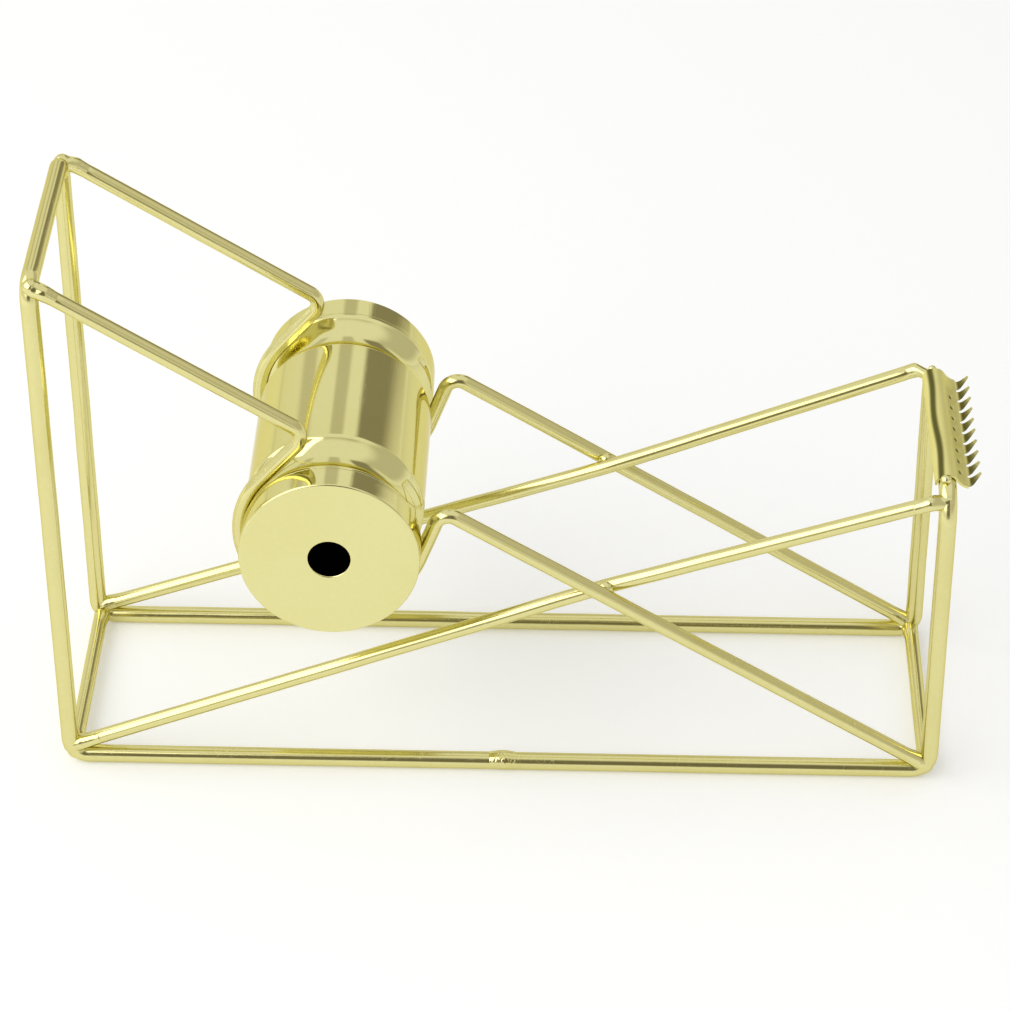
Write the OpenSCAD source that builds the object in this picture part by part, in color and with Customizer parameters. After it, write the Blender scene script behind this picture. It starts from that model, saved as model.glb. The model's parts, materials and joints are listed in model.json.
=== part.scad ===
// Wire tape dispenser: a welded frame of bent wire that carries a loose spool and a toothed cutter.
// The origin is on the table, in the middle of the four posts. +X points to the cutter, +Z up.

/* [Wire] */
// Diameter of the wire that makes the outer loop
loop_d = 3; // [2.6:0.1:3.4]
// Diameter of the cradle, brace and tie wires
thin_d = 2.5; // [2.1:0.1:2.9]
// Centre-line radius of the loop's corners
loop_bend_r = 3; // [2.4:0.1:4.5]
// Centre-line radius of the front arch's top corners
front_bend_r = 5; // [3:0.1:5]
// Centre-line radius of the kinks where a cradle wire turns down to the spool
kink_r = 2.4; // [1.8:0.1:3.5]
// Room that is left for weld metal between a wire's end and what it meets
weld_gap = 0.05; // [0.03:0.01:0.06]
// Room that is left for weld metal where a brace and a cradle wire cross
cross_gap = 0.25; // [0.2:0.05:0.4]
// Height of a weld bead over the wire that it holds
bead = 0.45; // [0.35:0.05:0.7]
// Length of the loop's butt weld along the rail
butt_l = 5.2; // [3:0.1:7]
// Height of the butt weld at the sides of the rail, and half its height on top
butt_h = 0.15; // [0.1:0.05:0.3]

/* [Frame] */
// Distance between the rear and front posts at the table
base_l = 147; // [130:1:170]
// Distance between the near and far rails
base_w = 40; // [39.5:0.1:40.5]
// Height of the rear arch, to the middle of its top bar
rear_h = 95.5; // [85:0.5:110]
// Height of the front arch, to the middle of its top bar
front_h = 57.8; // [52:0.2:64]
// Angle by which both arches lean back
lean = 0.4; // [0:0.1:2]
// Place of the loop's butt weld along the near rail
butt_x = 0.7; // [-20:0.1:20]
// Distance of a tie's axis outside the corner bend's centre line
tie_out = 0.5; // [0:0.1:0.8]
// Height of a brace's aim point over the middle of the rail
brace_lift = 1.7; // [1:0.1:3]

/* [Cradle] */
// Distance between the two cradle wires, which the spool's grooves share
cradle_w = 40.6; // [39:0.2:44]
// Height of a cradle wire's aim point over the middle of the rear top bar
cradle_rear_lift = 0.4; // [-1:0.1:1]
// Height of a cradle wire's aim point over the middle of the rail at the front
cradle_front_lift = 0.7; // [0:0.1:1.5]
// Distance by which the line of the rear straight passes over the spool's axis
rear_over = 14.3; // [13:0.1:16]
// Distance by which the line of the front straight passes over the spool's axis
front_over = 13.4; // [12.5:0.1:15]
// Angle at which the rear leg leaves the arc under the spool
rear_leg = 139; // [130:0.5:150]
// Angle at which the front leg leaves the arc under the spool
front_leg = -20.7; // [-30:0.1:-10]

/* [Spool] */
// Place of the spool's axis along the frame
spool_x = -27.4; // [-35:0.1:-15]
// Height of the spool's axis
spool_z = 49.4; // [46:0.1:54]
// Diameter of the spool, a loose fit in the core of a tape roll
spool_d = 29.6; // [27:0.1:32]
// Length of the spool over both ends
spool_l = 56.6; // [54:0.2:62]
// Depth of the rolled grooves that ride on the cradle wires
groove_depth = 2; // [1.7:0.1:2.4]
// Width of a groove at the surface of the spool, shoulders and all
groove_w = 9.6; // [9:0.1:10.2]
// Round of a groove's shoulders
shoulder_r = 1; // [0.6:0.1:1.4]
// Distance of a groove's middle inside its cradle wire, which rests on the outer flank
groove_in = 2.05; // [1.8:0.05:2.3]
// Gap between a groove's flank and its cradle wire
seat_gap = 0.57; // [0.4:0.01:0.8]
// Wall of the spool's tube and caps
spool_wall = 1; // [0.8:0.1:1.3]
// Diameter of the hole in each end cap
cap_hole_d = 6.9; // [5:0.1:10]
// Round of an end cap's outer edge
cap_round = 0.3; // [0.2:0.1:0.9]
// Plain land between a groove and the seam of its cap
cap_land = 0.4; // [0.2:0.1:0.8]
// Gap between a cap's skirt and the tube inside it
cap_gap = 0.05; // [0.03:0.01:0.1]

/* [Cutter] */
// Number of teeth
teeth = 10; // [6:1:10]
// Distance between teeth
tooth_pitch = 3.2; // [2.8:0.1:3.3]
// Length of a tooth beyond the bend
tooth_l = 2.2; // [1.6:0.1:2.8]
// Width of a tooth at its root
tooth_w = 2.7; // [2:0.1:2.75]
// Width of a tooth at its tip
tip_w = 0.15; // [0.1:0.05:0.4]
// Angle by which the teeth point up
tooth_rise = 53; // [40:1:60]
// Inside radius of the bend between plate and teeth
tooth_bend_r = 0.6; // [0.4:0.05:0.8]
// Thickness of the cutter's sheet
sheet = 0.4; // [0.3:0.05:0.6]
// Angle of sheet that is rolled round the top bar behind its crest
plate_lap = 95; // [70:1:100]
// Angle at which the plate drops from the top bar
plate_drop = 62; // [50:1:68]
// Angle behind the bar's crest at which the spot welds sit
spot_back = 15; // [0:1:30]
// Angle at which the plate still drops where the teeth start
plate_tail = 15; // [5:1:25]
// Radius of the hollow plate between the top bar and the teeth
plate_r = 3.4; // [3:0.1:4.5]
// Number of dimples, one in line with each valley from the near end
dimples = 8; // [4:1:9]
// Diameter of a dimple
dimple_d = 0.8; // [0.6:0.05:1]
// Depth of a dimple
dimple_depth = 0.2; // [0.1:0.02:0.24]
// Angle at which the plate drops at the row of dimples
dimple_drop = 49; // [35:1:52]

/* [Hidden] */
$fn = 64;
fine_fn = 360;
gold = [0.85, 0.81, 0.46];
bright_gold = [0.9, 0.87, 0.6];

// A bend is a trace fuller than the straight wire, which runs a little way into it
swell = 0.02;
lap = 0.2;
loop_r = loop_d / 2;
thin_r = thin_d / 2;
post_x = base_l / 2;
rail_y = base_w / 2;
rail_z = loop_r + swell;
cradle_y = cradle_w / 2;
rear_top_x = -post_x - (rear_h - rail_z) * tan(lean);
front_top_x = post_x - (front_h - rail_z) * tan(lean);

spool_r = spool_d / 2;
spool_y = spool_l / 2;
groove_floor_r = spool_r - groove_depth;
groove_y = cradle_y - groove_in;
groove_r = ((groove_w / 2) ^ 2 + groove_depth ^ 2) / (2 * groove_depth) - shoulder_r;
cradle_r = groove_floor_r + groove_r - sqrt((groove_r - seat_gap - thin_r) ^ 2 - groove_in ^ 2);
seam_y = groove_y + groove_w / 2 + cap_land;
cap_inner_r = spool_r - spool_wall;
spigot_y = spool_y - spool_wall - cap_gap;

// Plane geometry in the side view, as [x, z]
function bearing(v) = atan2(v[1], v[0]);
function polar(angle, r) = r * [cos(angle), sin(angle)];
function meet(a, r, b, s) = [r * sin(b) - s * sin(a), s * cos(a) - r * cos(b)] / sin(b - a);
function crossing(p, a, q, b) =
    p + a * (((q - p)[0] * b[1] - (q - p)[1] * b[0]) / (a[0] * b[1] - a[1] * b[0]));
function side(p, y) = [p[0], y, p[1]];

// The straights of a cradle wire touch circles round the spool's axis, and its legs touch the arc
spool_c = [spool_x, spool_z];
rear_aim = [rear_top_x, rear_h + cradle_rear_lift];
front_aim = [post_x, rail_z + cradle_front_lift];
rear_dir = bearing(spool_c - rear_aim) + asin(rear_over / norm(spool_c - rear_aim));
front_dir = bearing(spool_c - front_aim) - asin(front_over / norm(spool_c - front_aim));
rear_kink = spool_c + meet(rear_dir + 90, rear_over, rear_leg, cradle_r);
front_kink = spool_c + meet(front_dir - 90, front_over, front_leg, cradle_r);
rear_touch = spool_c + polar(rear_leg, cradle_r);
front_touch = spool_c + polar(front_leg, cradle_r);

// The braces run from the rear bottom corners to the front top corners, inside the cradle wires
brace_rear = [-post_x, rail_z + brace_lift];
brace_front = [front_top_x, front_h];
cross_at = crossing(brace_rear, brace_front - brace_rear, front_aim, polar(front_dir, 1));
brace_y = cradle_y - thin_d - cross_gap;
brace_bend_r = 40;

// A wire that is welded end on stops short of the other wire's axis and is coped to its surface
end_short = loop_r / 2;
// The bead of a tie sits a little outside its corner
bead_out = 0.14;
// The bead at a brace's front end covers the end, which passes outside the rounder corner
brace_bead = 0.8 * loop_r;
tie_x = post_x - loop_bend_r + (loop_bend_r + tie_out) / sqrt(2);
tie_z = rail_z + loop_bend_r - (loop_bend_r + tie_out) / sqrt(2);

blade_l = teeth * tooth_pitch;
blade_r = loop_r + weld_gap;
bar = [front_top_x, front_h];
plate_top = bar + polar(90 - plate_drop, blade_r + sheet);
plate_c = plate_top + polar(90 - plate_drop, plate_r);
plate_end = plate_c - polar(90 - plate_tail, plate_r);
tooth_bend_c = plate_end + polar(90 - plate_tail, tooth_bend_r);
tooth_turn = plate_tail + tooth_rise;
dimple_r = ((dimple_d / 2) ^ 2 + dimple_depth ^ 2) / (2 * dimple_depth);
valley_w = tooth_pitch - tooth_w;
arc_steps = 8;
lap_steps = 18;

function unit(v) = v / norm(v);
function turn(a, b, c) = acos(min(1, max(-1, unit(b - a) * unit(c - b))));
function setback(a, b, c, r) = r * tan(turn(a, b, c) / 2);
function columns(x, y, z, o) =
    [for (i = [0:2]) [x[i], y[i], z[i], o[i]]];
function across(v) = unit(cross(v, abs(v[2]) < 0.9 * norm(v) ? [0, 0, 1] : [1, 0, 0]));

module rod(a, b, d) {
    z = unit(b - a);
    x = across(z);
    multmatrix(columns(x, cross(z, x), z, a)) cylinder(d = d, h = norm(b - a));
}

module bend(a, b, c, r, d) {
    u = unit(b - a);
    v = unit(c - b);
    inward = unit(v - (v * u) * u);
    start = b - u * setback(a, b, c, r);
    multmatrix(columns(-inward, u, cross(u, inward), start + r * inward))
        rotate_extrude(angle = turn(a, b, c)) translate([r, 0]) circle(d = d + 2 * swell);
}

// A wire along the points of a path, with every corner rounded to the bend radius, or each to its own
module wire(path, bend_r, d, closed = false) {
    n = len(path);
    r = [for (i = [0:n - 1]) is_list(bend_r) ? bend_r[i] : bend_r];
    corners = closed ? [0:n - 1] : [1:n - 2];
    back = [
        for (i = [0:n - 1])
            !closed && (i == 0 || i == n - 1) ? 0
                : setback(path[(i + n - 1) % n], path[i], path[(i + 1) % n], r[i]) - lap
    ];
    for (i = [0:closed ? n - 1 : n - 2]) {
        j = (i + 1) % n;
        along = unit(path[j] - path[i]);
        rod(path[i] + back[i] * along, path[j] - back[j] * along, d);
    }
    for (i = corners) bend(path[(i + n - 1) % n], path[i], path[(i + 1) % n], r[i], d);
}

module loop_wire(grow = 0) {
    corners = [
        [-post_x, -rail_y, rail_z], [rear_top_x, -rail_y, rear_h],
        [rear_top_x, rail_y, rear_h], [-post_x, rail_y, rail_z],
        [post_x, rail_y, rail_z], [front_top_x, rail_y, front_h],
        [front_top_x, -rail_y, front_h], [post_x, -rail_y, rail_z]
    ];
    bends = [for (c = corners) c[2] == front_h ? front_bend_r : loop_bend_r];
    wire(corners, bends, loop_d + 2 * grow, closed = true);
}

module cradle_path(y, grow = 0) {
    d = thin_d + 2 * grow;
    rear_end = rear_aim + polar(rear_dir, end_short);
    rear_foot = rear_touch + polar(rear_leg + 90, lap);
    front_end = front_aim + polar(front_dir, end_short);
    front_foot = front_touch - polar(front_leg + 90, lap);
    wire([side(rear_end, y), side(rear_kink, y), side(rear_foot, y)], kink_r, d);
    translate(side(spool_c, y)) rotate([90, 0, 0]) rotate([0, 0, rear_leg])
        rotate_extrude(angle = 360 + front_leg - rear_leg) translate([cradle_r, 0]) circle(d = d + 2 * swell);
    wire([side(front_foot, y), side(front_kink, y), side(front_end, y)], kink_r, d);
}

module brace_path(way, grow = 0) {
    short = end_short * unit(brace_front - brace_rear);
    wire([
        side(brace_rear + short, way * rail_y), side(cross_at, way * brace_y),
        side(brace_front - short, way * rail_y)
    ], brace_bend_r, thin_d + 2 * grow);
}

module tie_path(way, grow = 0) {
    reach = rail_y - end_short;
    rod([way * tie_x, -reach, tie_z], [way * tie_x, reach, tie_z], thin_d + 2 * grow);
}

module coped() {
    difference() {
        children();
        loop_wire(weld_gap);
    }
}

function arc(c, r, from, to, steps) = [for (i = [0:steps]) c + polar(from + (to - from) * i / steps, r)];

// Side view of the cutter's sheet: a roll round the top bar, the hollow plate and the upturned teeth
module blade_section() {
    lap_from = 90 + plate_lap;
    lap_to = 90 - plate_drop;
    plate_from = -90 - plate_drop;
    bend_from = -90 - plate_tail;
    bend_to = tooth_rise - 90;
    tip = tooth_bend_c + polar(tooth_rise, tooth_l);
    polygon(concat(
        arc(bar, blade_r + sheet, lap_from, lap_to, lap_steps),
        arc(plate_c, plate_r, plate_from, bend_from, arc_steps),
        arc(tooth_bend_c, tooth_bend_r, bend_from, bend_to, arc_steps),
        [tip + polar(bend_to, tooth_bend_r), tip + polar(bend_to, tooth_bend_r + sheet)],
        arc(tooth_bend_c, tooth_bend_r + sheet, bend_to, bend_from, arc_steps),
        arc(plate_c, plate_r + sheet, bend_from, plate_from, arc_steps),
        arc(bar, blade_r, lap_to, lap_from, lap_steps)
    ));
}

// The gap between two teeth, as seen square to the teeth. It starts with the bend
module valley() {
    valley_l = tooth_bend_r * sin(tooth_turn) + tooth_l;
    bend_h = tooth_bend_r * (1 - cos(tooth_turn));
    reach = 2 * valley_l;
    spread = (tooth_w - tip_w) / 2 * reach / valley_l;
    translate(side(plate_end, 0)) rotate([0, -tooth_rise, 0]) translate([0, 0, -bend_h - 2 * sheet])
        linear_extrude(bend_h + 3 * sheet) polygon([
            [0, -valley_w / 2], [reach, -valley_w / 2 - spread],
            [reach, valley_w / 2 + spread], [0, valley_w / 2]
        ]);
}

module blade() {
    valley_y = [for (i = [0:teeth]) i * tooth_pitch - blade_l / 2];
    dimple_at = plate_c - polar(90 - dimple_drop, plate_r - dimple_r + dimple_depth);
    difference() {
        rotate([90, 0, 0]) linear_extrude(blade_l, center = true) blade_section();
        for (y = valley_y) translate([0, y, 0]) valley();
        for (i = [1:dimples]) translate(side(dimple_at, valley_y[i])) sphere(dimple_r);
    }
}

// Turns a shape round the spool's axis. Its height runs to the far end, or to the near end with way = -1
module on_spool(way = 1) {
    translate(side(spool_c, 0)) rotate([-90 * way, 0, 0]) rotate_extrude() children();
}

// A groove's cut: an arc between two rounded shoulders that it touches
module groove_section() {
    arc_c = [groove_floor_r + groove_r, 0];
    shoulder_c = [spool_r - shoulder_r, groove_w / 2];
    touch = shoulder_c + shoulder_r * unit(arc_c - shoulder_c);
    half = [[spool_r + lap, shoulder_c[1]], shoulder_c, touch];
    difference() {
        union() {
            translate(arc_c) circle(groove_r);
            polygon(concat(half, [for (i = [2:-1:0]) [half[i][0], -half[i][1]]]));
        }
        for (way = [-1, 1]) translate([shoulder_c[0], way * shoulder_c[1]]) circle(shoulder_r);
    }
}

module barrel_section() {
    difference() {
        union() {
            translate([0, -seam_y]) square([spool_r, 2 * seam_y]);
            translate([0, -spigot_y]) square([cap_inner_r - cap_gap, 2 * spigot_y]);
        }
        translate([0, -spool_y]) square([groove_floor_r - spool_wall, spool_l]);
        for (y = [-groove_y, groove_y]) translate([0, y]) groove_section();
    }
}

module cap_section() {
    difference() {
        intersection() {
            translate([0, seam_y + cap_gap]) square([spool_r, spool_y - seam_y - cap_gap]);
            union() {
                square([spool_r - cap_round, spool_y]);
                square([spool_r, spool_y - cap_round]);
                translate([spool_r - cap_round, spool_y - cap_round]) circle(cap_round);
            }
        }
        square([cap_inner_r, spool_y - spool_wall]);
        square([cap_hole_d / 2, spool_l]);
    }
}

// A round bead of weld metal, cut clear of the wires that it joins
module weld(at, r) {
    difference() {
        translate(at) sphere(r);
        children();
    }
}

// How far from its aim point a wire in the plane of a bottom corner comes out of the corner's inside
function comes_out(aim, dir) =
    let (to = [sign(aim[0]) * (post_x - loop_bend_r), rail_z + loop_bend_r] - aim)
    let (away = to - (to * dir) * dir)
    to * dir - sqrt(max(0, (loop_bend_r - loop_r) ^ 2 - away * away));

bead_r = thin_r + bead;
brace_dir = unit(brace_front - brace_rear);
front_along = polar(front_dir, 1);
function rear_top_at(way) = side(rear_aim + polar(rear_dir, loop_r), way * cradle_y);
function front_bottom_at(way) =
    side(front_aim + comes_out(front_aim, front_along) * front_along, way * cradle_y);
function rear_bottom_at(way) = side(brace_rear + comes_out(brace_rear, brace_dir) * brace_dir, way * rail_y);
function front_top_at(way) = side(brace_front - brace_bead * brace_dir, way * rail_y);
function tie_at(end, way) = [end * (tie_x + bead_out), way * (rail_y - loop_r), tie_z - bead_out];

module frame_loop() color(gold) loop_wire();
module near_cradle_wire() color(gold) coped() cradle_path(-cradle_y);
module far_cradle_wire() color(gold) coped() cradle_path(cradle_y);
module near_brace_wire() color(gold) coped() brace_path(-1);
module far_brace_wire() color(gold) coped() brace_path(1);
module rear_base_tie() color(gold) coped() tie_path(-1);
module front_base_tie() color(gold) coped() tie_path(1);
module cutter_blade() color(gold) blade();
module spool_barrel() color(bright_gold) on_spool() barrel_section();
module near_spool_cap() color(bright_gold) on_spool(-1) cap_section();
module far_spool_cap() color(bright_gold) on_spool(1) cap_section();

module rear_top_welds() {
    for (way = [-1, 1]) color(bright_gold) weld(rear_top_at(way), bead_r) {
        loop_wire(weld_gap);
        cradle_path(way * cradle_y, weld_gap);
    }
}

module front_bottom_welds() {
    for (way = [-1, 1]) color(bright_gold) weld(front_bottom_at(way), bead_r) {
        loop_wire(weld_gap);
        cradle_path(way * cradle_y, weld_gap);
        tie_path(1, weld_gap);
    }
}

module rear_bottom_welds() {
    for (way = [-1, 1]) color(bright_gold) weld(rear_bottom_at(way), bead_r) {
        loop_wire(weld_gap);
        brace_path(way, weld_gap);
        tie_path(-1, weld_gap);
    }
}

module front_top_welds() {
    for (way = [-1, 1]) color(bright_gold) weld(front_top_at(way), bead_r) {
        loop_wire(weld_gap);
        brace_path(way, weld_gap);
    }
}

module rear_tie_welds() {
    for (way = [-1, 1]) color(bright_gold) weld(tie_at(-1, way), bead_r) {
        loop_wire(weld_gap);
        tie_path(-1, weld_gap);
        brace_path(way, weld_gap);
        translate(rear_bottom_at(way)) sphere(bead_r + weld_gap);
    }
}

module front_tie_welds() {
    for (way = [-1, 1]) color(bright_gold) weld(tie_at(1, way), bead_r) {
        loop_wire(weld_gap);
        tie_path(1, weld_gap);
        cradle_path(way * cradle_y, weld_gap);
        translate(front_bottom_at(way)) sphere(bead_r + weld_gap);
    }
}

// The bead of a crossing sits in its upper corner. The brace bends a little towards the cradle wire there
module crossing_welds() {
    up = [0, bead];
    for (way = [-1, 1]) color(bright_gold) weld(side(cross_at + up, way * (cradle_y + brace_y) / 2), bead_r) {
        rod(side(front_kink, way * cradle_y), side(front_aim, way * cradle_y), thin_d + 2 * weld_gap);
        rod(side(brace_rear, way * brace_y), side(brace_front, way * brace_y), thin_d + 4 * weld_gap);
    }
}

// A low swelling where the ends of the loop meet. It is raised, so that the rail still touches the table
module loop_butt_weld() {
    top_h = 2 * butt_h - weld_gap;
    arc_r = ((butt_l / 2) ^ 2 + top_h ^ 2) / (2 * top_h);
    color(bright_gold) difference() {
        translate([butt_x, -rail_y, rail_z + butt_h]) rotate([0, 90, 0]) rotate_extrude() intersection() {
            translate([loop_r + butt_h - arc_r, 0]) circle(arc_r, $fn = fine_fn);
            translate([0, -butt_l]) square([loop_d, 2 * butt_l]);
        }
        loop_wire(weld_gap);
    }
}

// A bead on the top bar at each end of the cutter, flat where it meets the sheet
module blade_welds() {
    r = weld_gap + sheet + bead;
    end_y = blade_l / 2 + weld_gap;
    at = bar + polar(90 + spot_back, loop_r);
    for (way = [-1, 1]) color(bright_gold) weld(side(at, way * (end_y + r / 2)), r) {
        loop_wire(weld_gap);
        translate(side(at, way * (end_y - r))) cube(2 * r, center = true);
    }
}

frame_loop();
near_cradle_wire();
far_cradle_wire();
near_brace_wire();
far_brace_wire();
rear_base_tie();
front_base_tie();
cutter_blade();
spool_barrel();
near_spool_cap();
far_spool_cap();
rear_top_welds();
front_bottom_welds();
rear_bottom_welds();
front_top_welds();
rear_tie_welds();
front_tie_welds();
crossing_welds();
loop_butt_weld();
blade_welds();
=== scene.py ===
import json

import bpy
import numpy as np
from mathutils import Matrix


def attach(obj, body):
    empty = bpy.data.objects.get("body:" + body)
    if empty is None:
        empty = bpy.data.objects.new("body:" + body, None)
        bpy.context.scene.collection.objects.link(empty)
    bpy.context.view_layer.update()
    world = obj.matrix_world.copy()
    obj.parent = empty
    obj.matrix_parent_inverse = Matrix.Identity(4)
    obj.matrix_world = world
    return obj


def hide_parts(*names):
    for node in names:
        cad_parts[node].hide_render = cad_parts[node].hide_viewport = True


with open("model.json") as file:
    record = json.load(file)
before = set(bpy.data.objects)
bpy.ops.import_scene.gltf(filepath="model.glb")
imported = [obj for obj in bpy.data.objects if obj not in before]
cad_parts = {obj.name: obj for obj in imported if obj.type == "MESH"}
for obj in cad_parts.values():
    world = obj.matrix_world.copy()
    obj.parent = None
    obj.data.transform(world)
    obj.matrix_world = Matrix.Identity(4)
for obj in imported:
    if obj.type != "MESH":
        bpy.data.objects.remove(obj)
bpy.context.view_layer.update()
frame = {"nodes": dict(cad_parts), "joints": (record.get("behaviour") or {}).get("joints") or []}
mm = 0.001
print("frame loaded,", len(frame["nodes"]), "nodes")


# Camera, at the place that the photograph was taken from

cameraSet = {
    "place": (13.646 * mm, -506.890 * mm, 396.329 * mm),
    "yaw": -0.02605,  # radians, to the left of +Y
    "pitch": 0.61121,  # below the horizon
    "roll": 0.00215,
    "lens": 129.93,
    "sensor": 36.0,
    "nearest": 0.01,
}


def makeCamera():
    # ahead by the yaw and pitch, then turned about that way by the roll
    yaw, pitch, roll = (cameraSet[name] for name in ("yaw", "pitch", "roll"))
    ahead = np.array([np.sin(yaw) * np.cos(pitch), np.cos(yaw) * np.cos(pitch), -np.sin(pitch)])
    level = np.array([np.cos(yaw), -np.sin(yaw), 0.0])
    upright = np.cross(level, ahead)
    right = np.cos(roll) * level + np.sin(roll) * upright
    up = np.cos(roll) * upright - np.sin(roll) * level
    turn = np.eye(4)
    turn[:3, :] = np.column_stack([right, up, -ahead, cameraSet["place"]])
    lens = bpy.data.cameras.new("photoCamera")
    lens.lens = cameraSet["lens"]
    lens.sensor_width = cameraSet["sensor"]
    lens.clip_start = cameraSet["nearest"]
    camera = bpy.data.objects.new("photoCamera", lens)
    bpy.context.scene.collection.objects.link(camera)
    camera.matrix_world = Matrix(turn.tolist())
    bpy.context.scene.camera = camera


makeCamera()
print("camera placed")


# Finishes: shader groups first, then one material for each kind of surface

def addNode(tree, kind, place, **settings):
    node = tree.nodes.new(kind)
    node.location = place
    for name, value in settings.items():
        setattr(node, name, value)
    return node


def newGroup(name, inputs, outputs):
    group = bpy.data.node_groups.new(name, "ShaderNodeTree")
    for socket, kind, value in inputs:
        made = group.interface.new_socket(socket, in_out="INPUT", socket_type=kind)
        made.default_value = value
    for socket, kind in outputs:
        group.interface.new_socket(socket, in_out="OUTPUT", socket_type=kind)
    entry = addNode(group, "NodeGroupInput", (-900, 0))
    leave = addNode(group, "NodeGroupOutput", (700, 0))
    return group, entry, leave


def noiseAt(tree, vector, place, scale, detail=2.0, rough=0.5):
    noise = addNode(tree, "ShaderNodeTexNoise", place)
    noise.inputs["Scale"].default_value = scale
    noise.inputs["Detail"].default_value = detail
    noise.inputs["Roughness"].default_value = rough
    tree.links.new(vector, noise.inputs["Vector"])
    return noise.outputs["Fac"]


def spread(tree, value, place, low, high, floor=0.0, ceiling=1.0):
    ramp = addNode(tree, "ShaderNodeMapRange", place, interpolation_type="SMOOTHSTEP")
    for socket, number in zip(("From Min", "From Max", "To Min", "To Max"), (low, high, floor, ceiling)):
        ramp.inputs[socket].default_value = number
    tree.links.new(value, ramp.inputs["Value"])
    return ramp.outputs["Result"]


def calc(tree, operation, place, first, second):
    node = addNode(tree, "ShaderNodeMath", place, operation=operation)
    for socket, value in zip(node.inputs, (first, second)):
        if isinstance(value, (int, float)):
            socket.default_value = value
        else:
            tree.links.new(value, socket)
    return node.outputs["Value"]


def mixColour(tree, place, factor, first, second):
    node = addNode(tree, "ShaderNodeMix", place, data_type="RGBA")
    tree.links.new(factor, node.inputs["Factor"])
    for socket, colour in (("A", first), ("B", second)):
        if isinstance(colour, tuple):
            node.inputs[socket].default_value = (*colour, 1.0)
        else:
            tree.links.new(colour, node.inputs[socket])
    return node.outputs["Result"]


platingSet = {
    "patchScale": 45.0,
    "patchRange": (0.42, 0.72),
    "patchShare": 0.6,
    "mottleScale": 1100.0,
    "mottleRange": (0.45, 0.8),
    "mottleShare": 0.35,
}


def makePlatingTone():
    # soft patches of thicker and thinner plating, and a fine mottle over them
    p = platingSet
    group, entry, leave = newGroup(
        "platingTone", [(name, "NodeSocketColor", (1, 1, 1, 1)) for name in ("Base", "Deep", "Pale")],
        [("Color", "NodeSocketColor")])
    where = addNode(group, "ShaderNodeTexCoord", (-900, -300)).outputs["Object"]
    patches = noiseAt(group, where, (-600, -200), p["patchScale"], 3.0)
    patches = spread(group, patches, (-300, -200), *p["patchRange"], 0.0, p["patchShare"])
    mottle = noiseAt(group, where, (-600, -500), p["mottleScale"], 3.0)
    mottle = spread(group, mottle, (-300, -500), *p["mottleRange"], 0.0, p["mottleShare"])
    toned = mixColour(group, (0, 0), patches, entry.outputs["Base"], entry.outputs["Deep"])
    toned = mixColour(group, (300, 0), mottle, toned, entry.outputs["Pale"])
    group.links.new(toned, leave.inputs["Color"])
    return group


lineSet = {
    "lineRange": (0.52, 0.72),
    "breakScale": 160.0,
    "breakRange": (0.35, 0.65),
}


def makeLengthLines():
    # faint lines along a drawn wire or round a turned spool, from the surface's own coordinates
    group, entry, leave = newGroup(
        "lengthLines", [("Stretch", "NodeSocketVector", (1, 1, 1))],
        [("Height", "NodeSocketFloat"), ("Mask", "NodeSocketFloat")])
    lay = addNode(group, "ShaderNodeAttribute", (-900, -300), attribute_name="lay").outputs["Vector"]
    along = addNode(group, "ShaderNodeVectorMath", (-600, -100), operation="MULTIPLY")
    group.links.new(lay, along.inputs[0])
    group.links.new(entry.outputs["Stretch"], along.inputs[1])
    lines = noiseAt(group, along.outputs["Vector"], (-300, 0), 1.0, 4.0, 0.6)
    broken = noiseAt(group, lay, (-300, -300), lineSet["breakScale"])
    mask = calc(group, "MULTIPLY", (300, -200), spread(group, lines, (0, -100), *lineSet["lineRange"]),
                spread(group, broken, (0, -300), *lineSet["breakRange"]))
    group.links.new(lines, leave.inputs["Height"])
    group.links.new(mask, leave.inputs["Mask"])
    return group


markSet = {
    "lays": ((0.4, 520.0), (1.7, 640.0), (2.6, 430.0)),  # turn in radians, and scale across a scratch
    "slender": 0.05,  # scale along a scratch against across it
    "hairWidth": 0.035,
    "patchScale": 130.0,
    "patchStep": 60.0,  # added to the patches' scale for each further lay
    "patchRange": (0.5, 0.7),
}


def makeHandlingMarks():
    # short hairline scratches that lie every way, in scattered patches
    m = markSet
    group, _, leave = newGroup("handlingMarks", [], [("Mask", "NodeSocketFloat")])
    where = addNode(group, "ShaderNodeTexCoord", (-1200, 0)).outputs["Object"]
    total = None
    for index, (turn, size) in enumerate(m["lays"]):
        low = -320 * index
        mapping = addNode(group, "ShaderNodeMapping", (-1000, low))
        mapping.inputs["Rotation"].default_value = (turn, turn * 0.7, turn * 1.3)
        mapping.inputs["Scale"].default_value = (size, size * m["slender"], size)
        group.links.new(where, mapping.inputs["Vector"])
        cells = addNode(group, "ShaderNodeTexVoronoi", (-750, low), feature="DISTANCE_TO_EDGE")
        cells.inputs["Scale"].default_value = 1.0
        group.links.new(mapping.outputs["Vector"], cells.inputs["Vector"])
        hair = spread(group, cells.outputs["Distance"], (-450, low), 0.0, m["hairWidth"], 1.0, 0.0)
        patch = noiseAt(group, where, (-750, low - 160), m["patchScale"] + m["patchStep"] * index)
        patch = spread(group, patch, (-450, low - 160), *m["patchRange"])
        scratch = calc(group, "MULTIPLY", (-150, low), hair, patch)
        total = scratch if total is None else calc(group, "MAXIMUM", (100, low), total, scratch)
    group.links.new(total, leave.inputs["Mask"])
    return group


hazeSet = {
    "cloudScale": 900.0,
    "cloudRange": (0.3, 0.7),
    "gritScale": 2600.0,
}


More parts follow.
